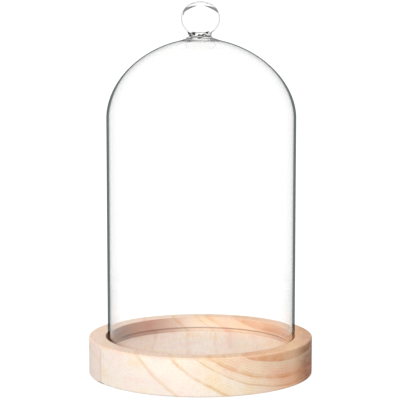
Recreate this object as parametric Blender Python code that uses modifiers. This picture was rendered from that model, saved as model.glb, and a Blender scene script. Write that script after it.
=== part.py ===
"""Cheese dome: a blown glass bell with a solid glass knob, standing in a turned wooden base.

Metres, +Z up. The origin is the centre of the base's underside, and the whole object is
turned about the Z axis, apart from the glue joint between the base's two boards.
"""

import math

import bmesh
import bpy
from mathutils import Matrix

# Wooden base: a disc turned from an edge-glued blank, with a recess that the bell drops into.
BASE_RADIUS = 0.090
BASE_HEIGHT = 0.030
BASE_EDGE_ROUND = 0.0012
RECESS_RADIUS = 0.0763
RECESS_FLOOR = 0.0175
RECESS_EDGE_ROUND = 0.0007
GLUE_JOINT_X = -0.078
BASE_STEPS = 96

# Glass bell: straight sides up to the shoulder, then a dome that is a little pointed.
BELL_RADIUS = 0.0755
BELL_WALL = 0.0020
BELL_CROWN_WALL = 0.0020
RIM_THICKNESS = 0.0030
RIM_BLEND_HEIGHT = 0.0080
SHOULDER_HEIGHT = 0.1878
DOME_RISE = 0.0628
DOME_EXPONENT = 1.88
BELL_STEPS = 64
DOME_STEPS = 14

# Glass knob: a slightly flattened ball on a short neck, whose foot spreads over the crown. The ball
# ends where it is NECK_JOIN times as wide as the neck.
KNOB_RADIUS = 0.0155
KNOB_HALF_HEIGHT = 0.0135
KNOB_CENTRE_ABOVE_CROWN = 0.0154
NECK_RADIUS = 0.0087
NECK_WAIST_ABOVE_CROWN = 0.0024
FOOT_REACH_RADIUS = 0.0170
FOOT_EDGE_RADIUS = 0.0116
NECK_JOIN = 1.04
KNOB_STEPS = 40
BALL_STEPS = 14
FOOT_STEPS = 5

# Space left between solids that touch, and the distance within which doubled points merge.
CONTACT_GAP = 0.0003
MERGE_DISTANCE = 0.00001


def clear_scene():
    for item in list(bpy.data.objects):
        bpy.data.objects.remove(item, do_unlink=True)


def new_collection(name):
    group = bpy.data.collections.new(name)
    bpy.context.scene.collection.children.link(group)
    return group


def new_material(name, colour, roughness, transmission=0.0, ior=1.5):
    material = bpy.data.materials.new(name)
    material.use_nodes = True
    shader = material.node_tree.nodes["Principled BSDF"]
    shader.inputs["Base Color"].default_value = (*colour, 1.0)
    shader.inputs["Roughness"].default_value = roughness
    shader.inputs["Metallic"].default_value = 0.0
    shader.inputs["Transmission Weight"].default_value = transmission
    shader.inputs["IOR"].default_value = ior
    material.diffuse_color = (*colour, 1.0 if transmission == 0.0 else 0.35)
    return material


def arc(centre_r, centre_z, radius, start, end, steps):
    """Points of a profile's arc, from the start angle to the end angle in degrees."""
    points = []
    for step in range(steps + 1):
        angle = math.radians(start + (end - start) * step / steps)
        r = centre_r + radius * math.cos(angle)
        z = centre_z + radius * math.sin(angle)
        points.append((r, z))
    return points


def turned(name, profile, steps, collection):
    """A solid of revolution about Z. The profile runs from the axis, down the outside."""
    mesh = bpy.data.meshes.new(name)
    points = [(r, 0.0, z) for r, z in profile]
    edges = [(index, index + 1) for index in range(len(points) - 1)]
    mesh.from_pydata(points, edges, [])
    piece = bpy.data.objects.new(name, mesh)
    collection.objects.link(piece)
    screw = piece.modifiers.new("Turn", "SCREW")
    screw.axis = "Z"
    screw.angle = math.radians(360)
    screw.steps = steps
    screw.render_steps = steps
    screw.use_merge_vertices = True
    screw.merge_threshold = MERGE_DISTANCE
    screw.use_smooth_shade = True
    return piece


def box_cutter(name, low, high, collection):
    """A box that another piece is cut by or kept inside. It isn't part of the object."""
    size = [high[axis] - low[axis] for axis in range(3)]
    middle = [(high[axis] + low[axis]) / 2 for axis in range(3)]
    mesh = bpy.data.meshes.new(name)
    shape = bmesh.new()
    bmesh.ops.create_cube(shape, size=1.0, matrix=Matrix.Translation(middle) @ Matrix.Diagonal((*size, 1.0)))
    shape.to_mesh(mesh)
    shape.free()
    cutter = bpy.data.objects.new(name, mesh)
    collection.objects.link(cutter)
    cutter.hide_render = True
    cutter.display_type = "WIRE"
    return cutter


def add_boolean(piece, cutter, operation):
    boolean = piece.modifiers.new("Saw along the glue joint", "BOOLEAN")
    boolean.object = cutter
    boolean.operation = operation


def smooth_by_angle(mesh, degrees=30):
    mesh.shade_smooth()
    mesh.set_sharp_from_angle(angle=math.radians(degrees))


def base_profile():
    """The disc's section: recess floor, recess wall, flat rim, outer side and underside."""
    points = [(0.0, RECESS_FLOOR), (RECESS_RADIUS, RECESS_FLOOR)]
    points += arc(
        RECESS_RADIUS + RECESS_EDGE_ROUND, BASE_HEIGHT - RECESS_EDGE_ROUND, RECESS_EDGE_ROUND, 180, 90, 2
    )
    edge_r = BASE_RADIUS - BASE_EDGE_ROUND
    points += arc(edge_r, BASE_HEIGHT - BASE_EDGE_ROUND, BASE_EDGE_ROUND, 90, 0, 3)
    points += arc(edge_r, BASE_EDGE_ROUND, BASE_EDGE_ROUND, 0, -90, 3)
    points.append((0.0, 0.0))
    return points


def make_base(parts, cutters, material):
    """The two boards of the glued blank, turned as one disc and parted at the glue joint."""
    reach = BASE_RADIUS * 2
    main_side = box_cutter(
        "main_board_side", (GLUE_JOINT_X, -reach, -reach), (reach, reach, reach), cutters
    )
    edge_side = box_cutter(
        "edge_board_side", (-reach, -reach, -reach), (GLUE_JOINT_X - CONTACT_GAP, reach, reach), cutters
    )
    main_board = turned("base_main_board", base_profile(), BASE_STEPS, parts)
    add_boolean(main_board, main_side, "INTERSECT")
    edge_board = turned("base_edge_board", base_profile(), BASE_STEPS, parts)
    add_boolean(edge_board, edge_side, "INTERSECT")
    for board in (main_board, edge_board):
        board.data.materials.append(material)
        smooth_by_angle(board.data)
    return main_board, edge_board


def dome_height(r, radius, rise):
    """Height of a dome above its shoulder, at the distance r from the axis."""
    return rise * (1.0 - (r / radius) ** DOME_EXPONENT) ** (1.0 / DOME_EXPONENT)


def crown_height(r):
    """Height of the bell's outer surface above its rim, near the crown."""
    return SHOULDER_HEIGHT + dome_height(r, BELL_RADIUS, DOME_RISE)


def dome_curve(radius, rise, steps):
    """Points of a dome's section, from the crown down to the shoulder."""
    points = [(0.0, SHOULDER_HEIGHT + rise)]
    for step in range(1, steps + 1):
        angle = math.radians(90.0 * step / steps)
        r = radius * math.sin(angle) ** (2.0 / DOME_EXPONENT)
        z = SHOULDER_HEIGHT + rise * max(math.cos(angle), 0.0) ** (2.0 / DOME_EXPONENT)
        points.append((r, z))
    return points


def bell_profile():
    """The bell's section, from its rim's height: outside down, round the rim, inside up."""
    inner_radius = BELL_RADIUS - BELL_WALL
    inner_rise = DOME_RISE - BELL_CROWN_WALL
    rim_round = RIM_THICKNESS / 2
    outside = dome_curve(BELL_RADIUS, DOME_RISE, DOME_STEPS)
    rim = arc(BELL_RADIUS - rim_round, rim_round, rim_round, 0, -180, 6)
    inside = dome_curve(inner_radius, inner_rise, DOME_STEPS)
    inside.append((inner_radius, RIM_BLEND_HEIGHT))
    return outside + rim + inside[::-1]


def make_bell(parts, material):
    bell = turned("glass_bell", bell_profile(), BELL_STEPS, parts)
    bell.location.z = RECESS_FLOOR + CONTACT_GAP
    bell.data.materials.append(material)
    smooth_by_angle(bell.data)
    return bell


def foot_height(r):
    """Height of the knob's foot above the crown's surface: upright at the neck, flat outside."""
    waist = crown_height(0.0) + NECK_WAIST_ABOVE_CROWN - crown_height(NECK_RADIUS)
    across = (FOOT_REACH_RADIUS - r) / (FOOT_REACH_RADIUS - NECK_RADIUS)
    return waist * (1.0 - math.sqrt(max(1.0 - across * across, 0.0)))


def knob_profile():
    """The knob's section, in heights above the crown: ball, waist, foot and underside."""
    crown = crown_height(0.0)
    neck_angle = 180.0 - math.degrees(math.asin(NECK_RADIUS * NECK_JOIN / KNOB_RADIUS))
    points = []
    for step in range(BALL_STEPS + 1):
        angle = math.radians(neck_angle * step / BALL_STEPS)
        r = KNOB_RADIUS * math.sin(angle)
        z = KNOB_CENTRE_ABOVE_CROWN + KNOB_HALF_HEIGHT * math.cos(angle)
        points.append((r, z))
    for step in range(FOOT_STEPS + 1):
        r = NECK_RADIUS + (FOOT_EDGE_RADIUS - NECK_RADIUS) * (step / FOOT_STEPS) ** 2
        points.append((r, crown_height(r) + foot_height(r) - crown))
    for share in (1.0, 0.75, 0.5, 0.25, 0.0):
        r = FOOT_EDGE_RADIUS * share
        points.append((r, crown_height(r) - crown + CONTACT_GAP))
    return points


def make_knob(parts, bell, material):
    knob = turned("glass_knob", knob_profile(), KNOB_STEPS, parts)
    knob.parent = bell
    knob.location.z = crown_height(0.0)
    knob.data.materials.append(material)
    smooth_by_angle(knob.data)
    return knob


def main():
    clear_scene()
    parts = new_collection("cheese_dome")
    cutters = new_collection("cutters")
    wood = new_material("pale_turned_wood", (0.82, 0.62, 0.44), 0.55)
    glass = new_material("clear_blown_glass", (0.97, 0.985, 0.98), 0.0, transmission=1.0, ior=1.52)
    make_base(parts, cutters, wood)
    bell = make_bell(parts, glass)
    make_knob(parts, bell, glass)
    bpy.context.view_layer.update()


main()
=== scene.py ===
# Cheese dome: a blown glass bell with a ball knob, standing in a turned wooden base.
import math
from functools import partial

import bmesh
import bpy
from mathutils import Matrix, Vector


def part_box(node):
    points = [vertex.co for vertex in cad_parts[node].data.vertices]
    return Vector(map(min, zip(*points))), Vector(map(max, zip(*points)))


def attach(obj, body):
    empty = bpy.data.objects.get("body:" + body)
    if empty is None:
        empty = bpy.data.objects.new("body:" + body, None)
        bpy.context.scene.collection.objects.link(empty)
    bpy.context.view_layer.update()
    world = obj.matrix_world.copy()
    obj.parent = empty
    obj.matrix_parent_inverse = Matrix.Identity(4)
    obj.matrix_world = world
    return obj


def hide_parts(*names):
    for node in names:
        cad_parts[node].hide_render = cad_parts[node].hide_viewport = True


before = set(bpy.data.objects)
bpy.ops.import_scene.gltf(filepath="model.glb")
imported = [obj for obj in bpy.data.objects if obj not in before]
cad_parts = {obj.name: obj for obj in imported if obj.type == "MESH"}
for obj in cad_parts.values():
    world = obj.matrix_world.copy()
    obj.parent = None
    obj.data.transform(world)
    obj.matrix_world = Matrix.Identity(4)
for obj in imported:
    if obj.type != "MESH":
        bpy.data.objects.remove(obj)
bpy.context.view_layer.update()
print("frame loaded")


# Small helpers that every stage below uses.

def toLinear(hexColour):
    channels = [int(hexColour[i:i + 2], 16) / 255 for i in (0, 2, 4)]
    linear = [c / 12.92 if c <= 0.04045 else ((c + 0.055) / 1.055) ** 2.4 for c in channels]
    return (*linear, 1.0)


# Adds one node. Settings go to its properties. Inputs go to its sockets by name, or to those in use in their
# order; each is a value, a socket, or a node, which stands for its first output. Stops fill a colour ramp.
def addNode(tree, kind, inputs=(), stops=(), **settings):
    node = tree.nodes.new(kind)
    for name, value in settings.items():
        setattr(node, name, value)
    if isinstance(inputs, dict):
        sockets = [node.inputs[name] for name in inputs]
        inputs = inputs.values()
    else:
        sockets = [socket for socket in node.inputs if socket.enabled]
    for socket, value in zip(sockets, inputs):
        if isinstance(value, bpy.types.Node):
            value = next(output for output in value.outputs if output.enabled)
        if isinstance(value, bpy.types.NodeSocket):
            tree.links.new(value, socket)
        else:
            socket.default_value = value
    if stops:
        fillRamp(node.color_ramp.elements, stops)
    return node


def fillRamp(elements, stops):
    while len(elements) < len(stops):
        elements.new(0.5)
    for element, (position, hexColour) in zip(elements, stops):
        element.position = position
        element.color = toLinear(hexColour)


# settings that many nodes share
softStep = {"interpolation_type": "SMOOTHSTEP"}
colourMix = {"data_type": "RGBA"}
colourMultiply = {"data_type": "RGBA", "blend_type": "MULTIPLY"}


# joins a row of values by alike nodes, each of which takes what came out before and the next value
def joinByNodes(tree, kind, values, **settings):
    joined = values[0]
    for value in values[1:]:
        joined = addNode(tree, kind, (joined, value), **settings)
    return joined


def newMaterial(name):
    material = bpy.data.materials.new(name)
    material.use_nodes = True
    material.node_tree.nodes.clear()
    return material, material.node_tree


def linkObject(name, data):
    piece = bpy.data.objects.new(name, data)
    bpy.context.scene.collection.objects.link(piece)
    return piece


# a modifier's inputs are set by identifier, because two sockets may share a name
def setModifierInputs(modifier, tree, values):
    for item in tree.interface.items_tree:
        if item.item_type == "SOCKET" and item.in_out == "INPUT" and item.name in values:
            modifier[item.identifier] = values[item.name]


# evaluates the piece once and keeps the result as its plain mesh
def bakeModifiers(piece):
    bpy.context.view_layer.update()
    depsgraph = bpy.context.evaluated_depsgraph_get()
    baked = bpy.data.meshes.new_from_object(piece.evaluated_get(depsgraph))
    piece.modifiers.clear()
    piece.data = baked
    baked.name = piece.name


# Sizes that come from the frame.

baseLow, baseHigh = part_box("base_main_board")
bellLow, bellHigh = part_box("glass_bell")
knobLow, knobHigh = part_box("glass_knob")

baseRadius = baseHigh[0]
baseHeight = baseHigh[2]
bellRadius = bellHigh[0]
rimHeight = bellLow[2]
crownHeight = bellHigh[2]
knobTop = knobHigh[2]


# Camera: a long lens a little above the bell's middle, looking slightly down.

cameraSettings = {
    "distance": 1.17,
    "downTilt": 6.32,
    "targetHeight": 0.1394,
    "sideOffset": -0.0004,
    "lens": 131.4,
    "sensor": 36,
    "nearest": 0.05,
    "farthest": 50,
}


def makeCamera(settings):
    tilt = math.radians(settings["downTilt"])
    camera = linkObject("camera", bpy.data.cameras.new("camera"))
    camera.data.lens = settings["lens"]
    camera.data.sensor_width = settings["sensor"]
    camera.data.clip_start = settings["nearest"]
    camera.data.clip_end = settings["farthest"]
    camera.location = (
        settings["sideOffset"],
        -settings["distance"] * math.cos(tilt),
        settings["targetHeight"] + settings["distance"] * math.sin(tilt),
    )
    camera.rotation_euler = (math.radians(90) - tilt, 0, 0)
    bpy.context.scene.camera = camera


makeCamera(cameraSettings)
print("camera placed")


# Studio: a white sweep all round, soft light from the front left, and a plain pale floor.

studioSettings = {
    "sweep": 1.13,
    "mirrorLow": 0.62,
    "mirrorHigh": 1.05,
    "mirrorEdge": (0.20, 0.60),
    "insideWall": 0.88,
    "flag": 0.14,
    "plankSlope": 0.39,
    "plankEdges": (-0.84, -0.58),
    "plankAside": (0.14, 0.84),
    "cardAhead": (0.14, 0.64),
    "cardShift": 0.175,
    "cardAside": (0.225, 0.64),
    "cardBelow": -0.15,
    "cardBends": 3.5,
    "ambientLeft": 0.34,
    "ambientRight": 0.05,
    "sideEdge": (-0.5, 0.6),
    "ambientTop": 1.02,
    "topEdge": (0.45, 0.85),
    "keyGlow": 2.0,
    "lightFrom": (-0.30, -0.90, 0.36),
    "lightSpread": (0.25, 0.95),
    "floorRadius": 0.45,
    "floorSegments": 96,
    "floorDrop": 0.0003,
    "floorNear": 0.99,
    "floorFade": (0.10, 0.26),
    "floorBounce": 0.55,
    "floorShade": 0.25,
    "shadeFrom": (0.06, 0.12),
    "floorPaper": "3f3f3f",
}


def middleAndHalf(low, high):
    return (low + high) / 2, (high - low) / 2


# The sweep is white wherever it is seen, also straight through the glass, and what the glass mirrors low
# down is dimmer. Only light that the glass bent reaches the planks and the cards, dark and low on both
# sides, and only where it was bent fewer times than the limit.
def makeWorld(settings):
    world = bpy.data.worlds.new("studioSweep")
    bpy.context.scene.world = world
    world.use_nodes = True
    tree = world.node_tree
    tree.nodes.clear()
    add = partial(addNode, tree)
    join = partial(joinByNodes, tree)

    path = add("ShaderNodeLightPath").outputs
    mirrored = add("ShaderNodeMath", (path["Glossy Depth"], 0.5), operation="GREATER_THAN")
    lighting = add("ShaderNodeMath", (path["Diffuse Depth"], 0.5), operation="GREATER_THAN")
    entered = add("ShaderNodeMath", (path["Transmission Depth"], 0.5), operation="GREATER_THAN")
    leftEarly = add(
        "ShaderNodeMath", (path["Transmission Depth"], settings["cardBends"]), operation="LESS_THAN"
    )

    ray = add("ShaderNodeTexCoord").outputs["Generated"]
    axes = add("ShaderNodeSeparateXYZ", (ray,)).outputs
    aside = add("ShaderNodeMath", (axes["X"],), operation="ABSOLUTE")
    level = add("ShaderNodeMath", (aside, -settings["plankSlope"], axes["Z"]), operation="MULTIPLY_ADD")
    onLevel = add("ShaderNodeMath", (level, *middleAndHalf(*settings["plankEdges"])), operation="COMPARE")
    onSide = add("ShaderNodeMath", (aside, *middleAndHalf(*settings["plankAside"])), operation="COMPARE")
    plank = add("ShaderNodeMath", (onLevel, onSide), operation="MULTIPLY")
    ahead = add("ShaderNodeMath", (axes["Y"],), operation="ABSOLUTE")
    inFront = add("ShaderNodeMath", (ahead, *middleAndHalf(*settings["cardAhead"])), operation="COMPARE")
    outward = add("ShaderNodeMath", (axes["X"], settings["cardShift"]), operation="SUBTRACT")
    outward = add("ShaderNodeMath", (outward,), operation="ABSOLUTE")
    outward = add("ShaderNodeMath", (outward, *middleAndHalf(*settings["cardAside"])), operation="COMPARE")
    lowDown = add("ShaderNodeMath", (axes["Z"], settings["cardBelow"]), operation="LESS_THAN")
    card = join("ShaderNodeMath", (inFront, outward, lowDown), operation="MULTIPLY")
    flags = add("ShaderNodeMath", (plank, card), operation="MAXIMUM")
    flags = join("ShaderNodeMath", (flags, entered, leftEarly), operation="MULTIPLY")
    seen = add("ShaderNodeMix", (flags, settings["sweep"], settings["flag"]))

    high = add("ShaderNodeMapRange", (axes["Z"], *settings["mirrorEdge"]), **softStep)
    mirror = add("ShaderNodeMix", (high, settings["mirrorLow"], settings["mirrorHigh"]))
    mirror = add("ShaderNodeMix", (entered, mirror, settings["insideWall"]))

    right = add("ShaderNodeMapRange", (axes["X"], *settings["sideEdge"]), **softStep)
    lit = add("ShaderNodeMix", (right, settings["ambientLeft"], settings["ambientRight"]))
    top = add("ShaderNodeMapRange", (axes["Z"], *settings["topEdge"]), **softStep)
    lit = add("ShaderNodeMix", (top, lit, settings["ambientTop"]))
    lightFrom = Vector(settings["lightFrom"]).normalized()
    towardsLight = add("ShaderNodeVectorMath", (ray, lightFrom), operation="DOT_PRODUCT")
    key = add("ShaderNodeMapRange", (towardsLight, *settings["lightSpread"]), **softStep)
    lit = add("ShaderNodeMix", (key, lit, settings["keyGlow"]))

    strength = add("ShaderNodeMix", (mirrored, seen, mirror))
    strength = add("ShaderNodeMix", (lighting, strength, lit))
    sweep = add("ShaderNodeBackground", {"Color": (1, 1, 1, 1), "Strength": strength})
    add("ShaderNodeOutputWorld", (sweep,))
    world.cycles.sampling_method = "NONE"


def makeFloor(settings):
    mesh = bpy.data.meshes.new("paleFloor")
    shape = bmesh.new()
    bmesh.ops.create_circle(
        shape, cap_ends=True, segments=settings["floorSegments"], radius=settings["floorRadius"]
    )
    bmesh.ops.translate(shape, verts=shape.verts, vec=(0, 0, -settings["floorDrop"]))
    shape.to_mesh(mesh)
    shape.free()
    floor = linkObject("paleFloor", mesh)
    material, tree = newMaterial("paleFloorPaper")
    add = partial(addNode, tree)

    path = add("ShaderNodeLightPath").outputs
    mirrored = add("ShaderNodeMath", (path["Glossy Depth"], 0.5), operation="GREATER_THAN")
    lighting = add("ShaderNodeMath", (path["Diffuse Depth"], 0.5), operation="GREATER_THAN")
    place = add("ShaderNodeTexCoord").outputs["Object"]
    distance = add("ShaderNodeVectorMath", (place,), operation="LENGTH")
    far = add("ShaderNodeMapRange", (distance, *settings["floorFade"]), **softStep)
    seen = add("ShaderNodeMix", (far, settings["floorNear"], settings["sweep"]))
    seen = add("ShaderNodeMix", (mirrored, seen, settings["mirrorLow"]))
    # the object shades the floor on its right, so less light comes back up there
    sideways = add("ShaderNodeSeparateXYZ", (place,)).outputs["X"]
    shaded = add("ShaderNodeMapRange", (sideways, *settings["shadeFrom"]), **softStep)
    bounce = add("ShaderNodeMix", (shaded, settings["floorBounce"], settings["floorShade"]))
    strength = add("ShaderNodeMix", (lighting, seen, bounce))
    glow = add("ShaderNodeEmission", {"Strength": strength})
    paper = add("ShaderNodeBsdfDiffuse", {"Color": toLinear(settings["floorPaper"])})
    shown = add("ShaderNodeAddShader", (glow, paper))
    # seen from below, the floor isn't there
    below = add("ShaderNodeNewGeometry").outputs["Backfacing"]
    shown = add("ShaderNodeMixShader", (below, shown, add("ShaderNodeBsdfTransparent")))
    add("ShaderNodeOutputMaterial", (shown,))
    mesh.materials.append(material)


makeWorld(studioSettings)
makeFloor(studioSettings)
bpy.context.scene.view_settings.view_transform = "Standard"
print("studio lit")


# A Geometry Nodes lathe: turns a profile about Z, with the small unevenness of hand work.

latheInputs = (
    ("Profile", "NodeSocketGeometry", None),
    ("Segments", "NodeSocketInt", 192),
    ("Profile Points", "NodeSocketInt", 2),
    ("Merge Distance", "NodeSocketFloat", 0.00001),
    ("Wobble", "NodeSocketFloat", 0.0),
    ("Wobble Scale", "NodeSocketFloat", 1.0),
    ("Wobble Rise", "NodeSocketFloat", 6.0),
    ("Pinch", "NodeSocketFloat", 0.0),
    ("Pinch Scale", "NodeSocketFloat", 2.6),
    ("Pinch Rise", "NodeSocketFloat", 130.0),
    ("Pinch Height", "NodeSocketFloat", 0.0),
    ("Pinch Reach", "NodeSocketFloat", 0.001),
    ("Pinch Core", "NodeSocketFloat", 0.4),
    ("Outer Surface", "NodeSocketMaterial", None),
    ("Inner From", "NodeSocketInt", 0),
    ("Inner Surface", "NodeSocketMaterial", None),
)


def buildLatheTree():
    tree = bpy.data.node_groups.new("lathe", "GeometryNodeTree")
    for name, kind, default in latheInputs:
        socket = tree.interface.new_socket(name, in_out="INPUT", socket_type=kind)
        if default is not None:
            socket.default_value = default
    tree.interface.new_socket("Mesh", in_out="OUTPUT", socket_type="NodeSocketGeometry")
    add = partial(addNode, tree)
    given = add("NodeGroupInput").outputs
    points = given["Profile Points"]

    # a flat grid has a row for each point of the profile and a column for each step of the turn, of which
    # the last comes to lie on the first
    columns = add("FunctionNodeIntegerMath", (given["Segments"], 1), operation="ADD")
    grid = add("GeometryNodeMeshGrid", {"Vertices X": columns, "Vertices Y": points})
    index = add("GeometryNodeInputIndex")
    column = add("FunctionNodeIntegerMath", (index, points), operation="DIVIDE_FLOOR")
    row = add("FunctionNodeIntegerMath", (index, points), operation="MODULO")
    onProfile = add(
        "GeometryNodeSampleIndex",
        {"Geometry": given["Profile"], "Value": add("GeometryNodeInputPosition"), "Index": row},
        data_type="FLOAT_VECTOR",
        domain="POINT",
    )
    profile = add("ShaderNodeSeparateXYZ", (onProfile,)).outputs
    turn = add("ShaderNodeMath", (column, math.tau), operation="MULTIPLY")
    turn = add("ShaderNodeMath", (turn, given["Segments"]), operation="DIVIDE")
    cosine = add("ShaderNodeMath", (turn,), operation="COSINE")
    sine = add("ShaderNodeMath", (turn,), operation="SINE")

    # two noises move the surface in and out: a slow wobble everywhere, and the dents of the tool that
    # pinched the hot glass, only within the pinch's reach and full over its core, a share of the reach
    swings = []
    for kind, detail in (("Wobble", 1.0), ("Pinch", 0.0)):
        rise = add("ShaderNodeMath", (profile["Z"], given[kind + " Rise"]), operation="MULTIPLY")
        around = add("ShaderNodeCombineXYZ", (cosine, sine, rise))
        noise = add(
            "ShaderNodeTexNoise", {"Vector": around, "Scale": given[kind + " Scale"], "Detail": detail}
        )
        swing = add("ShaderNodeMath", (noise, 0.5), operation="SUBTRACT")
        swings.append(add("ShaderNodeMath", (swing, given[kind]), operation="MULTIPLY"))
    fromPinch = add("ShaderNodeMath", (profile["Z"], given["Pinch Height"]), operation="SUBTRACT")
    fromPinch = add("ShaderNodeMath", (fromPinch,), operation="ABSOLUTE")
    fullPinch = add("ShaderNodeMath", (given["Pinch Reach"], given["Pinch Core"]), operation="MULTIPLY")
    pinched = add("ShaderNodeMapRange", (fromPinch, given["Pinch Reach"], fullPinch), **softStep)
    wobble, dents = swings
    swing = add("ShaderNodeMath", (dents, pinched, wobble), operation="MULTIPLY_ADD")
    radius = add("ShaderNodeMath", (profile["X"], swing, profile["X"]), operation="MULTIPLY_ADD")

    sideways = add("ShaderNodeMath", (radius, cosine), operation="MULTIPLY")
    backward = add("ShaderNodeMath", (radius, sine), operation="MULTIPLY")
    turned = add("ShaderNodeCombineXYZ", (sideways, backward, profile["Z"]))
    placed = add("GeometryNodeSetPosition", {"Geometry": grid, "Position": turned})
    outside = add("GeometryNodeSetMaterial", {"Geometry": placed, "Material": given["Outer Surface"]})
    # a material goes on faces, which have one row fewer than the points
    faceRows = add("FunctionNodeIntegerMath", (points, 1), operation="SUBTRACT")
    faceRow = add("FunctionNodeIntegerMath", (index, faceRows), operation="MODULO")
    inner = add(
        "FunctionNodeCompare", (faceRow, given["Inner From"]), data_type="INT", operation="GREATER_EQUAL"
    )
    skinned = add(
        "GeometryNodeSetMaterial",
        {"Geometry": outside, "Selection": inner, "Material": given["Inner Surface"]},
    )
    merged = add("GeometryNodeMergeByDistance", {"Geometry": skinned, "Distance": given["Merge Distance"]})
    smooth = add("GeometryNodeSetShadeSmooth", {"Geometry": merged})
    real = add("GeometryNodeRealizeInstances", {"Geometry": smooth})
    add("NodeGroupOutput", {"Mesh": real})
    return tree


latheTree = buildLatheTree()


def turnOnLathe(name, profile, values):
    mesh = bpy.data.meshes.new(name)
    mesh.from_pydata([(r, 0, z) for r, z in profile], [], [])
    piece = linkObject(name, mesh)
    lathe = piece.modifiers.new("lathe", "NODES")
    lathe.node_group = latheTree
    setModifierInputs(lathe, latheTree, {"Profile Points": len(profile), **values})
    bakeModifiers(piece)
    closeAndFaceOut(piece.data, values["Merge Distance"])
    return piece


def closeAndFaceOut(mesh, distance):
    shape = bmesh.new()
    shape.from_mesh(mesh)
    bmesh.ops.remove_doubles(shape, verts=shape.verts, dist=distance)
    bmesh.ops.recalc_face_normals(shape, faces=shape.faces)
    shape.to_mesh(mesh)
    shape.free()


# Glass: one blown gather, so the bell, its neck and its knob are one piece of glass.

glassSettings = {
    "segments": 192,
    "merge": 0.000002,
    "wobble": 0.0012,
    "wobbleScale": 0.9,
    "wall": 0.0020,
    "crownWall": 0.0020,
    "rimThickness": 0.0030,
    "rimBlend": 0.0080,
    "domeRise": 0.0628,
    "domeExponent": 1.88,
    "knobHalfHeight": 0.0135,
    "neckRadius": 0.0087,
    "neckJoin": 1.2,
    "waistAboveCrown": 0.0024,
    "footReach": 0.0170,
    "pinch": 0.34,
    "pinchAboveCrown": 0.0022,
    "pinchReach": 0.0045,
    "ballSteps": 56,
    "neckSteps": 10,
    "footSteps": 20,
    "domeSteps": 48,
    "wallSteps": 24,
    "rimSteps": 16,
    "rimBlendSteps": 8,
    # the bell has play all round in its recess and stands a little to the right in it, but its knob was
    # put on as much to the left
    "standsAside": 0.0006,
    "leanHeight": 0.050,
}


def arcPoints(centreR, centreZ, radius, start, end, steps):
    angles = [math.radians(start + (end - start) * step / steps) for step in range(steps + 1)]
    return [(centreR + radius * math.cos(a), centreZ + radius * math.sin(a)) for a in angles]


# a quarter of a dome that is a little pointed, from one angle to another; at 90 degrees it meets the wall
def domePoints(radius, rise, shoulder, exponent, start, end, steps):
    points = []
    for step in range(steps + 1):
        angle = start + (end - start) * step / steps
        r = radius * math.sin(angle) ** (2 / exponent)
        points.append((r, shoulder + rise * max(math.cos(angle), 0) ** (2 / exponent)))
    return points


# The outline of the glass from the top of the ball, down the outside, round the rim and up the inside to
# the crown, and the number of the point past the middle of the rim, where the inside starts.
def glassProfile(settings):
    exponent = settings["domeExponent"]
    rise = settings["domeRise"]
    shoulder = crownHeight - rise
    knobRadius = knobHigh[0]
    knobHalfHeight = settings["knobHalfHeight"]
    knobCentre = knobTop - knobHalfHeight
    neck = settings["neckRadius"]
    waist = crownHeight + settings["waistAboveCrown"]
    reach = settings["footReach"]

    def outerDome(r):
        return shoulder + rise * (1 - (r / bellRadius) ** exponent) ** (1 / exponent)

    # the ball, from its top to where the neck's curve takes over
    points = []
    lastAngle = math.pi - math.asin(neck * settings["neckJoin"] / knobRadius)
    for step in range(settings["ballSteps"] + 1):
        angle = lastAngle * step / settings["ballSteps"]
        points.append((knobRadius * math.sin(angle), knobCentre + knobHalfHeight * math.cos(angle)))
    # a hollow curve from the ball into the waist
    startR, startZ = points[-1]
    slope = knobHalfHeight * math.sin(lastAngle) / (-knobRadius * math.cos(lastAngle))
    cornerZ = startZ - (startR - neck) * slope
    for step in range(1, settings["neckSteps"] + 1):
        t = step / settings["neckSteps"]
        r = (1 - t) ** 2 * startR + (1 - (1 - t) ** 2) * neck
        points.append((r, (1 - t) ** 2 * startZ + 2 * t * (1 - t) * cornerZ + t * t * waist))
    # the foot spreads from the waist and runs out on the crown
    waistRise = waist - outerDome(neck)
    for step in range(1, settings["footSteps"] + 1):
        across = math.cos(math.radians(90 * step / settings["footSteps"]))
        r = reach - (reach - neck) * across
        points.append((r, outerDome(r) + waistRise * (1 - math.sqrt(1 - across * across))))
    # the dome's outside, from the foot to the shoulder
    footAngle = math.asin((reach / bellRadius) ** (exponent / 2))
    points += domePoints(
        bellRadius, rise, shoulder, exponent, footAngle, math.pi / 2, settings["domeSteps"]
    )[1:]
    # straight side, fire-polished rim, and up the inside
    rimRound = settings["rimThickness"] / 2
    rimTop = rimHeight + rimRound
    for step in range(1, settings["wallSteps"]):
        points.append((bellRadius, shoulder + (rimTop - shoulder) * step / settings["wallSteps"]))
    points += arcPoints(bellRadius - rimRound, rimTop, rimRound, 0, -180, settings["rimSteps"])
    innerFrom = len(points) - settings["rimSteps"] // 2
    innerRadius = bellRadius - settings["wall"]
    bead = bellRadius - settings["rimThickness"]
    for step in range(1, settings["rimBlendSteps"] + 1):
        t = step / settings["rimBlendSteps"]
        ease = t * t * (3 - 2 * t)
        points.append((bead + (innerRadius - bead) * ease, rimTop + settings["rimBlend"] * t))
    startZ = points[-1][1]
    for step in range(1, settings["wallSteps"]):
        points.append((innerRadius, startZ + (shoulder - startZ) * step / settings["wallSteps"]))
    innerRise = rise - settings["crownWall"]
    points += domePoints(
        innerRadius, innerRise, shoulder, exponent, math.pi / 2, 0, settings["domeSteps"]
    )
    return points, innerFrom


def standAside(mesh, settings):
    for vertex in mesh.vertices:
        below = (crownHeight - vertex.co.z) / settings["leanHeight"]
        vertex.co.x += settings["standsAside"] * min(max(below, 0), 1)


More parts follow.
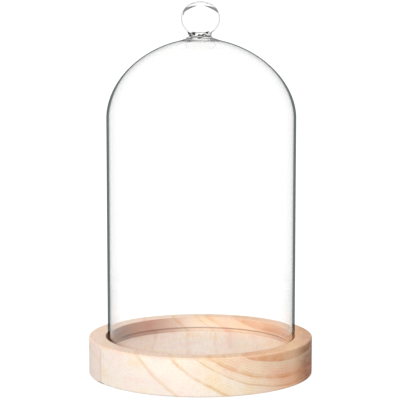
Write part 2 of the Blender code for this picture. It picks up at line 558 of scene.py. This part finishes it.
glassLook = {
    "ior": 1.5,
    # painted dark reflection, by how far the surface turns away: 0 faces the eye, 1 is edge on, and past the
    # second value of the bend a straight line through the wall misses its inside
    "paintedEdgeShade": [(0.0, "ffffff"), (0.69, "ffffff"), (0.768, "ccd0d0"), (0.774, "6e7474"), (1.0, "4e5454")],
    "edgeBend": (0.768, 0.774),
    # keeps the division for the edge from blowing up where the sight line is upright
    "leastLevel": 0.0004,
    # the foot that stands in the recess has a paler painted edge
    "paintedFootShade": [(0.0, "ffffff"), (0.69, "ffffff"), (0.774, "c2b8b2"), (1.0, "a89c95")],
    "footFrom": (0.0350, 0.0300),
    # the painted grey edge is thinner at the crown, and the ball has a soft wide painted grey edge of its own
    "crownThinning": 0.09,
    "crownFrom": (crownHeight - 0.055, crownHeight - 0.012),
    "paintedBallShade": [(0.0, "ffffff"), (0.50, "ffffff"), (0.76, "ced2d2"), (1.0, "ced2d2")],
    "ballFrom": (crownHeight + 0.004, crownHeight + 0.008),
    # heights above the rim's foot: painted shade along the bead, a dark line at its foot and one at its top
    # where the rim bends the light
    "paintedBeadLines": [
        (0.0, "8a786e"), (0.0006, "b3a296"), (0.0012, "efe6e0"), (0.0021, "e8ddd6"),
        (0.0027, "8f7d72"), (0.0032, "9c8b80"), (0.0038, "ffffff"), (0.0050, "ffffff"),
    ],
}


# Soda-lime glass, blown and fire-polished: clear and mirror smooth. Seen edge on, the outside is painted
# grey, standing in for the dark room that the glass shows there (painted dark reflection), and bends and
# mirrors nothing.
def sodaLimeGlass(name, look, isOutside):
    material, tree = newMaterial(name)
    glass = addNode(
        tree,
        "ShaderNodeBsdfPrincipled",
        {"Base Color": (1, 1, 1, 1), "Roughness": 0.0, "IOR": look["ior"], "Transmission Weight": 1.0},
    )
    if isOutside:
        paintEdgeShade(tree, glass, look)
    addNode(tree, "ShaderNodeOutputMaterial", (glass,))
    return material


def paintEdgeShade(tree, glass, look):
    add = partial(addNode, tree)
    place = add("ShaderNodeTexCoord").outputs["Object"]
    height = add("ShaderNodeSeparateXYZ", (place,)).outputs["Z"]
    facing = add("ShaderNodeLayerWeight", {"Blend": 0.5}).outputs["Facing"]

    # light that runs steeply down an upright wall crosses it as light on the level does, so the wall's
    # facing is taken on the level, and the crown's as it is
    up = add("ShaderNodeCombineXYZ", {"Z": 1.0})
    steepness = add("ShaderNodeLayerWeight", {"Blend": 0.5, "Normal": up}).outputs["Facing"]
    steepness = add("ShaderNodeMath", (1.0, steepness), operation="SUBTRACT")
    normal = add("ShaderNodeNewGeometry").outputs["Normal"]
    crownness = add("ShaderNodeSeparateXYZ", (normal,)).outputs["Z"]
    crownness = add("ShaderNodeMath", (crownness, crownness), operation="MULTIPLY")
    wallness = add("ShaderNodeMath", (1.0, crownness), operation="SUBTRACT")
    rising = joinByNodes(tree, "ShaderNodeMath", (steepness, steepness, wallness), operation="MULTIPLY")
    onLevel = add("ShaderNodeMath", (1.0, rising), operation="SUBTRACT")
    onLevel = add("ShaderNodeMath", (onLevel, look["leastLevel"]), operation="MAXIMUM")
    onLevel = add("ShaderNodeMath", (onLevel,), operation="SQRT")
    towards = add("ShaderNodeMath", (1.0, facing), operation="SUBTRACT")
    towards = add("ShaderNodeMath", (towards, onLevel), operation="DIVIDE")
    edge = add("ShaderNodeMath", (1.0, towards), operation="SUBTRACT")
    atCrown = add("ShaderNodeMapRange", (height, *look["crownFrom"]), **softStep)
    edge = add("ShaderNodeMath", (atCrown, -look["crownThinning"], edge), operation="MULTIPLY_ADD")

    # painted dark reflection: the outside's colour turns grey where it is seen edge on, paler at the foot,
    # softer on the ball
    tint = add("ShaderNodeValToRGB", (edge,), stops=look["paintedEdgeShade"])
    foot = add("ShaderNodeValToRGB", (edge,), stops=look["paintedFootShade"])
    atFoot = add("ShaderNodeMapRange", (height, *look["footFrom"]), **softStep)
    tint = add("ShaderNodeMix", (atFoot, tint, foot), **colourMix)
    ball = add("ShaderNodeValToRGB", (facing,), stops=look["paintedBallShade"])
    atBall = add("ShaderNodeMapRange", (height, *look["ballFrom"]), **softStep)
    tint = add("ShaderNodeMix", (atBall, tint, ball), **colourMultiply)
    # painted shade: dark lines along the rim's bead, multiplied into the glass colour
    reach = look["paintedBeadLines"][-1][0]
    upBead = add("ShaderNodeMapRange", (height, rimHeight, rimHeight + reach))
    bead = add("ShaderNodeValToRGB", (upBead,), stops=[(up / reach, grey) for up, grey in look["paintedBeadLines"]])
    tint = add("ShaderNodeMix", (1.0, tint, bead), **colourMultiply)
    tree.links.new(tint.outputs["Result"], glass.inputs["Base Color"])
    ior = add("ShaderNodeMapRange", (edge, *look["edgeBend"], look["ior"], 1.0))
    tree.links.new(ior.outputs["Result"], glass.inputs["IOR"])


def makeGlass(settings, look):
    profile, innerFrom = glassProfile(settings)
    piece = turnOnLathe(
        "blownGlassCloche",
        profile,
        {
            "Segments": settings["segments"],
            "Merge Distance": settings["merge"],
            "Wobble": settings["wobble"],
            "Wobble Scale": settings["wobbleScale"],
            "Pinch": settings["pinch"],
            "Pinch Height": crownHeight + settings["pinchAboveCrown"],
            "Pinch Reach": settings["pinchReach"],
            "Outer Surface": sodaLimeGlass("sodaLimeOutside", look, True),
            "Inner From": innerFrom,
            "Inner Surface": sodaLimeGlass("sodaLimeInside", look, False),
        },
    )
    standAside(piece.data, settings)
    # light falls through the glass onto the wood as if it were not there
    piece.visible_diffuse = False
    return piece


glassPiece = makeGlass(glassSettings, glassLook)
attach(glassPiece, "bell")
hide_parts("glass_bell", "glass_knob")
print("glass blown")


# Wood: two boards glued edge to edge, then turned as one disc.

baseSettings = {
    "edgeRound": 0.0012,
    "recessRadius": 0.0763,
    "recessFloor": 0.0175,
    "recessEdgeRound": 0.0007,
    "recessEdgeSteps": 4,
    # the recess floor has one more ring, at this share of its radius
    "floorRing": 0.5,
    "edgeSupport": 0.0003,
    "edgeSteps": 5,
    "glueLine": 0.00002,
    "rimColumns": 340,
    "edgeColumns": 60,
    "glueColumns": 40,
    "glueSnap": 0.000001,
    "sharpAngle": 28,
}


# joins rings of points, each with the same count, into a closed skin
def loftRings(name, rings):
    shape = bmesh.new()
    loops = [[shape.verts.new(point) for point in ring] for ring in rings]
    count = len(loops[0])
    for upper, lower in zip(loops, loops[1:]):
        for i in range(count):
            j = (i + 1) % count
            shape.faces.new((upper[i], lower[i], lower[j], upper[j]))
    shape.faces.new(loops[0])
    shape.faces.new(loops[-1][::-1])
    bmesh.ops.recalc_face_normals(shape, faces=shape.faces)
    mesh = bpy.data.meshes.new(name)
    shape.to_mesh(mesh)
    shape.free()
    mesh.shade_smooth()
    mesh.set_sharp_from_angle(angle=math.radians(baseSettings["sharpAngle"]))
    return mesh


# One level of a board's outline: the arc of the turned disc, then the straight glued face. The middle of
# the arc is at the angle given, and the arc turns half its span to each side.
def boardRing(reach, height, glueFace, middle, half, arcSteps, glueSteps):
    ring = []
    for step in range(arcSteps + 1):
        angle = middle - half + 2 * half * step / arcSteps
        ring.append(Vector((reach * math.cos(angle), reach * math.sin(angle), height)))
    first, last = ring[0].copy(), ring[-1].copy()
    for step in range(1, glueSteps):
        ring.append(last.lerp(first, step / glueSteps))
    for point in ring:
        if abs(point.x - glueFace) < baseSettings["glueSnap"]:
            point.x = glueFace
    return ring


# pairs of inset and height, round the top edge and then round the bottom edge; a ring on the flat beside
# each rounding keeps the flat faces flat in the light
def roundedEdgeSteps(edgeRound, support, steps):
    beside = edgeRound + support
    top = arcPoints(edgeRound, baseHeight - edgeRound, edgeRound, 90, 180, steps)
    bottom = arcPoints(edgeRound, edgeRound, edgeRound, 180, 270, steps)
    sides = [(0.0, baseHeight - beside), (0.0, beside)]
    return [(beside, baseHeight)] + top + sides + bottom + [(beside, 0.0)]


def outerRings(settings, glueFace, isMain):
    rings = []
    edgeSteps = roundedEdgeSteps(settings["edgeRound"], settings["edgeSupport"], settings["edgeSteps"])
    for inset, height in edgeSteps:
        reach = baseRadius - inset
        edgeHalf = math.acos(-glueFace / reach)
        if isMain:
            half, middle, steps = math.pi - edgeHalf, 0, settings["rimColumns"]
        else:
            half, middle, steps = edgeHalf, math.pi, settings["edgeColumns"]
        rings.append(boardRing(reach, height, glueFace, middle, half, steps, settings["glueColumns"]))
    return rings


def makeMainBoard(settings, material):
    outside = outerRings(settings, baseLow[0], True)
    angles = [math.atan2(point.y, point.x) for point in outside[0]]
    recess = settings["recessRadius"]
    lip = settings["recessEdgeRound"]
    inside = [(recess * settings["floorRing"], settings["recessFloor"]), (recess, settings["recessFloor"])]
    inside.append((recess, baseHeight - lip - settings["edgeSupport"]))
    inside += arcPoints(recess + lip, baseHeight - lip, lip, 180, 90, settings["recessEdgeSteps"])
    inside.append((recess + lip + settings["edgeSupport"], baseHeight))
    rings = [[(r * math.cos(a), r * math.sin(a), z) for a in angles] for r, z in inside]
    mesh = loftRings("turnedMainBoard", rings + outside)
    mesh.materials.append(material)
    return linkObject("turnedMainBoard", mesh)


def makeEdgeBoard(settings, material):
    rings = outerRings(settings, baseLow[0] - settings["glueLine"], False)
    mesh = loftRings("turnedEdgeBoard", rings)
    mesh.materials.append(material)
    return linkObject("turnedEdgeBoard", mesh)


# rings are listed from the heart out: where the late wood ends, its colour, the early wood after it, and
# how slowly it darkens
paleWoodMain = {
    "pith": (0.069, 0.117),
    "heart": "ecbd92",
    "rings": [
        (0.074, "d99f6c", "edbf94", 0.005),
        (0.084, "dba272", "edc096", 0.005),
        (0.0955, "dc9c6d", "f4d9bc", 0.007),
        (0.1085, "e4b486", "f6e2c9", 0.004),
        (0.1145, "dfbf97", "f6e8d6", 0.0016),
        (0.1275, "e3c194", "f5eadd", 0.0028),
        (0.1465, "e3c194", "f0e5da", 0.0028),
    ],
    "lateWidth": 0.0009,
    "streaks": 0.30,
    "topTint": 0.5,
    "floorTint": 0.6,
    # share of the painted shade on the recess wall's left, and of the orange on its right
    "wallShadeAndTone": 0.85,
    "seed": (0.0, 0.0, 0.0),
}

paleWoodEdge = {
    "pith": (-0.010, 0.150),
    "heart": "ecd3be",
    "rings": [(0.129, "e8cdb0", "efdfd4", 0.003), (0.151, "e9d1b8", "eddfd5", 0.003)],
    "lateWidth": 0.0009,
    "streaks": 0.3,
    "topTint": 0.4,
    "floorTint": 0.0,
    "wallShadeAndTone": 0.0,
    "seed": (0.3, 0.7, 0.1),
}

# The grain runs along Y. Each noise has its scale per metre, its scale along the board as a share of that,
# and some their detail. The two drifts also have how far they move the rings. Real fibres are about 0.2 mm
# wide, which is too fine to show, so they are drawn about 0.9 mm wide and 20 mm long.
grainSettings = {
    "drifts": [(14.0, 0.35, 0.008), (110.0, 0.2, 0.0016)],
    "beyondRings": 0.01,
    "broken": (75.0, 0.3),
    "brokenFrom": (0.40, 0.62),
    "ringsLeast": 0.55,
    "streakSpacing": 0.0021,
    "streakColour": "dba679",
    "streaksTo": (0.135, 0.100),
    "cloud": (60.0, 0.5, 3.0),
    "cloudTint": [(0.32, "fff2f4"), (0.5, "ffffff"), (0.7, "fff6e4")],
    "cloudShare": 0.9,
    "fibre": (1100.0, 0.045, 3.0),
    "fibreTint": [(0.30, "f0e4da"), (0.60, "ffffff")],
    "fibreShare": 0.5,
    "fibreHeight": 0.0002,
    "fibreStrength": 0.25,
    "roughness": 0.6,
}

# What the turning left: a browner flat rim; a plain paler floor with painted warm shade on its left and a
# painted whitish reflection on its right; painted shade on the recess wall's left, darkest at its end, and
# its right part mixed towards orange; and a warmer right end, darker partly in the wood's own tone and partly
# by painted shade on its side.
turnedSettings = {
    "top": "e7c3a6",
    "topFrom": (0.0282, 0.0292),
    # the recess floor's pale colour, with painted warm shade on its left and a painted whitish reflection on
    # its right
    "floorToneAndShadeLeft": "e6c6b3",
    "floorToneAndReflectionRight": "f3e4d9",
    "floorShadeToReflectionAcross": (-0.070, 0.010),
    "floorTo": (0.0176, 0.0182),
    "wallMargin": 0.0001,
    # painted shade on the recess wall's left, darker still at its left end
    "wall": "bb8468",
    "wallShadeFrom": (0.004, -0.046),
    "wallShadeEnd": "744b3b",
    "wallShadeEndFrom": (-0.052, -0.074),
    "wallRight": "d89a70",
    "wallRightFrom": (0.048, 0.070),
    "wallRightShare": 0.7,
    "warm": "ffd2b8",
    "warmFrom": (0.030, 0.085),
    "warmBelow": (0.026, 0.006),
    # darker right end, partly the wood's browner tone and partly painted shade on the side turned from the
    # light
    "end": "c0aca4",
    "endToneAndShadeFrom": (0.0700, 0.0870),
    "endGrain": (150.0, 0.35, 3.0, 2.2),
    "endGrainFrom": (0.34, 0.58),
    "endLeast": 0.72,
    "endMore": 0.5,
    # a small open pore in the rim's top, in front
    "pore": "a8866e",
    "porePlace": (0.0178, -0.0838, 0.0300),
    "poreSize": (0.0016, 0.0010, 0.0010),
    "poreEdge": (1.0, 0.4),
}

# the glue line is a faint stain down the side, with a small dark chip at its foot in front
glueSettings = {
    "stain": "d6bfae",
    "stainHalf": 0.001,
    "stainShare": 0.6,
    "stainTop": (0.029, 0.024),
    "chip": "6b594d",
    "chipHalf": 0.0026,
    "chipTop": 0.0011,
}


# Paulownia, turned and sanded, left bare: wide pale rings that end in thin tan late wood, more orange
# towards the heart, matt, with fibres that run along the board.
def turnedPaulownia(name, settings):
    material, tree = newMaterial(name)
    place = addNode(tree, "ShaderNodeTexCoord").outputs["Object"]
    shifted = addNode(tree, "ShaderNodeVectorMath", (place, settings["seed"]), operation="ADD")

    def grainNoise(scale, along, detail=2.0, upward=1.0):
        stretched = addNode(tree, "ShaderNodeVectorMath", (shifted, (1, along, upward)), operation="MULTIPLY")
        return addNode(tree, "ShaderNodeTexNoise", {"Vector": stretched, "Scale": scale, "Detail": detail})

    colour = growthRings(tree, place, settings, grainSettings, grainNoise)
    colour = turnedFaces(tree, place, colour, settings, turnedSettings, grainNoise)
    cloud = grainNoise(*grainSettings["cloud"])
    fibre = grainNoise(*grainSettings["fibre"])
    for kind, noise in (("cloud", cloud), ("fibre", fibre)):
        tint = addNode(tree, "ShaderNodeValToRGB", (noise,), stops=grainSettings[kind + "Tint"])
        share = grainSettings[kind + "Share"]
        colour = addNode(tree, "ShaderNodeMix", (share, colour, tint), **colourMultiply)
    colour = glueLine(tree, place, colour, glueSettings)
    bump = addNode(
        tree,
        "ShaderNodeBump",
        {
            "Strength": grainSettings["fibreStrength"],
            "Distance": grainSettings["fibreHeight"],
            "Height": fibre,
        },
    )
    wood = addNode(
        tree,
        "ShaderNodeBsdfPrincipled",
        {"Base Color": colour, "Roughness": grainSettings["roughness"], "Normal": bump},
    )
    addNode(tree, "ShaderNodeOutputMaterial", (wood,))
    return material


# The colour goes by the distance from the pith: each ring darkens slowly, ends in late wood, and starts pale
# again. The rings fade in and out, and fine lines run between them near the heart.
def growthRings(tree, place, settings, grain, grainNoise):
    add = partial(addNode, tree)
    pithX, pithZ = settings["pith"]
    fromPith = add("ShaderNodeVectorMath", (place, (pithX, 0, pithZ)), operation="SUBTRACT")
    fromPith = add("ShaderNodeVectorMath", (fromPith, (1, 0, 1)), operation="MULTIPLY")
    distance = add("ShaderNodeVectorMath", (fromPith,), operation="LENGTH")
    for scale, along, reach in grain["drifts"]:
        drift = add("ShaderNodeMath", (grainNoise(scale, along), 0.5), operation="SUBTRACT")
        distance = add("ShaderNodeMath", (drift, reach, distance), operation="MULTIPLY_ADD")

    reach = settings["rings"][-1][0] + grain["beyondRings"]
    half = settings["lateWidth"] / 2
    before = settings["heart"]
    ringStops = [(0.0, before)]
    plainStops = [(0.0, before)]
    for radius, late, early, fade in settings["rings"]:
        ringStops.append(((radius - fade) / reach, before))
        ringStops.append(((radius - half) / reach, late))
        ringStops.append(((radius + half) / reach, early))
        plainStops.append((radius / reach, early))
        before = early
    outward = add("ShaderNodeMath", (distance, reach), operation="DIVIDE")
    ringed = add("ShaderNodeValToRGB", (outward,), stops=ringStops)
    plain = add("ShaderNodeValToRGB", (outward,), stops=plainStops)
    broken = add("ShaderNodeMapRange", (grainNoise(*grain["broken"]), *grain["brokenFrom"]), **softStep)
    least = grain["ringsLeast"]
    clear = add("ShaderNodeMath", (broken, 1 - least, least), operation="MULTIPLY_ADD")
    colour = add("ShaderNodeMix", (clear, plain, ringed), **colourMix)

    wave = add("ShaderNodeMath", (distance, math.tau / grain["streakSpacing"]), operation="MULTIPLY")
    wave = add("ShaderNodeMath", (wave,), operation="SINE")
    wave = add("ShaderNodeMapRange", (wave, 0.0, 1.0), **softStep)
    nearHeart = add("ShaderNodeMapRange", (distance, *grain["streaksTo"]), **softStep)
    shares = (wave, nearHeart, broken, settings["streaks"])
    streaks = joinByNodes(tree, "ShaderNodeMath", shares, operation="MULTIPLY")
    return add("ShaderNodeMix", (streaks, colour, toLinear(grain["streakColour"])), **colourMix)


# the axis that each soft change on the turned faces runs along
turnedAxes = {
    "topFrom": "Z",
    "floorTo": "Z",
    "floorShadeToReflectionAcross": "X",
    "wallShadeFrom": "X",
    "wallShadeEndFrom": "X",
    "wallRightFrom": "X",
    "warmFrom": "X",
    "warmBelow": "Z",
    "endToneAndShadeFrom": "X",
}


def turnedFaces(tree, place, colour, settings, turned, grainNoise):
    add = partial(addNode, tree)
    join = partial(joinByNodes, tree)
    axes = add("ShaderNodeSeparateXYZ", (place,)).outputs
    level = add("ShaderNodeVectorMath", (place, (1, 1, 0)), operation="MULTIPLY")
    radius = add("ShaderNodeVectorMath", (level,), operation="LENGTH")
    change = {}
    for name, axis in turnedAxes.items():
        change[name] = add("ShaderNodeMapRange", (axes[axis], *turned[name]), **softStep)

    onTop = add("ShaderNodeMath", (change["topFrom"], settings["topTint"]), operation="MULTIPLY")
    colour = add("ShaderNodeMix", (onTop, colour, toLinear(turned["top"])), **colourMix)

    wallReach = baseSettings["recessRadius"] + turned["wallMargin"]
    inside = add("ShaderNodeMath", (radius, wallReach), operation="LESS_THAN")
    aboveHalf = add("ShaderNodeMath", (axes["Z"], baseSettings["recessFloor"] / 2), operation="GREATER_THAN")
    inRecess = add("ShaderNodeMath", (inside, aboveHalf), operation="MULTIPLY")
    outside = add("ShaderNodeMath", (1.0, inRecess), operation="SUBTRACT")
    onWall = add("ShaderNodeMath", (inRecess, change["floorTo"]), operation="MULTIPLY")
    onFloor = add("ShaderNodeMath", (inRecess, onWall), operation="SUBTRACT")
    onFloor = add("ShaderNodeMath", (onFloor, settings["floorTint"]), operation="MULTIPLY")
    # pale floor colour with painted warm shade on the left and a painted whitish reflection on the right
    left, right = toLinear(turned["floorToneAndShadeLeft"]), toLinear(turned["floorToneAndReflectionRight"])
    floor = add("ShaderNodeMix", (change["floorShadeToReflectionAcross"], left, right), **colourMix)
    colour = add("ShaderNodeMix", (onFloor, colour, floor), **colourMix)

    # painted shade on the recess wall's left, darkest at its left end
    middle, end = toLinear(turned["wall"]), toLinear(turned["wallShadeEnd"])
    wall = add("ShaderNodeMix", (change["wallShadeEndFrom"], middle, end), **colourMix)
    shares = (onWall, change["wallShadeFrom"], settings["wallShadeAndTone"])
    wallShadeAndToneMask = join("ShaderNodeMath", shares, operation="MULTIPLY")
    colour = add("ShaderNodeMix", (wallShadeAndToneMask, colour, wall), **colourMix)
    # the wall's right part is mixed towards orange
    shares = (onWall, change["wallRightFrom"], settings["wallShadeAndTone"] * turned["wallRightShare"])
    wallShadeAndToneMask = join("ShaderNodeMath", shares, operation="MULTIPLY")
    colour = add("ShaderNodeMix", (wallShadeAndToneMask, colour, toLinear(turned["wallRight"])), **colourMix)

    shares = (outside, change["warmFrom"], change["warmBelow"])
    warmth = join("ShaderNodeMath", shares, operation="MULTIPLY")
    colour = add("ShaderNodeMix", (warmth, colour, toLinear(turned["warm"])), **colourMultiply)
    grainy = grainNoise(*turned["endGrain"])
    grainy = add("ShaderNodeMapRange", (grainy, *turned["endGrainFrom"]), **softStep)
    grainy = add("ShaderNodeMath", (grainy, turned["endMore"], turned["endLeast"]), operation="MULTIPLY_ADD")
    # darker right end on the side only: partly the wood's browner tone, partly painted shade
    offTop = add("ShaderNodeMath", (1.0, onTop), operation="SUBTRACT")
    shares = (outside, change["endToneAndShadeFrom"], grainy, offTop)
    endToneAndShade = join("ShaderNodeMath", shares, operation="MULTIPLY")
    colour = add("ShaderNodeMix", (endToneAndShade, colour, toLinear(turned["end"])), **colourMultiply)

    fromPore = add("ShaderNodeVectorMath", (place, turned["porePlace"]), operation="SUBTRACT")
    fromPore = add("ShaderNodeVectorMath", (fromPore, turned["poreSize"]), operation="DIVIDE")
    fromPore = add("ShaderNodeVectorMath", (fromPore,), operation="LENGTH")
    inPore = add("ShaderNodeMapRange", (fromPore, *turned["poreEdge"]), **softStep)
    return add("ShaderNodeMix", (inPore, colour, toLinear(turned["pore"])), **colourMix)


def glueLine(tree, place, colour, glue):
    add = partial(addNode, tree)
    axes = add("ShaderNodeSeparateXYZ", (place,)).outputs
    fromGlue = add("ShaderNodeMath", (axes["X"], baseLow[0]), operation="SUBTRACT")
    fromGlue = add("ShaderNodeMath", (fromGlue,), operation="ABSOLUTE")
    stain = add("ShaderNodeMapRange", (fromGlue, glue["stainHalf"], 0.0), **softStep)
    onSide = add("ShaderNodeMapRange", (axes["Z"], *glue["stainTop"]), **softStep)
    shares = (stain, onSide, glue["stainShare"])
    stain = joinByNodes(tree, "ShaderNodeMath", shares, operation="MULTIPLY")
    colour = add("ShaderNodeMix", (stain, colour, toLinear(glue["stain"])), **colourMix)

    level = add("ShaderNodeVectorMath", (place, (1, 1, 0)), operation="MULTIPLY")
    radius = add("ShaderNodeVectorMath", (level,), operation="LENGTH")
    bounds = (
        add("ShaderNodeMath", (fromGlue, glue["chipHalf"]), operation="LESS_THAN"),
        add("ShaderNodeMath", (axes["Y"], 0.0), operation="LESS_THAN"),
        add("ShaderNodeMath", (axes["Z"], glue["chipTop"]), operation="LESS_THAN"),
        add("ShaderNodeMath", (radius, baseRadius - baseSettings["edgeRound"]), operation="GREATER_THAN"),
    )
    chip = joinByNodes(tree, "ShaderNodeMath", bounds, operation="MULTIPLY")
    return add("ShaderNodeMix", (chip, colour, toLinear(glue["chip"])), **colourMix)


mainBoard = makeMainBoard(baseSettings, turnedPaulownia("turnedPaulowniaMain", paleWoodMain))
edgeBoard = makeEdgeBoard(baseSettings, turnedPaulownia("turnedPaulowniaEdge", paleWoodEdge))
for board, node in ((mainBoard, "base_main_board"), (edgeBoard, "base_edge_board")):
    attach(board, "base")
    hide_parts(node)
print("base turned")
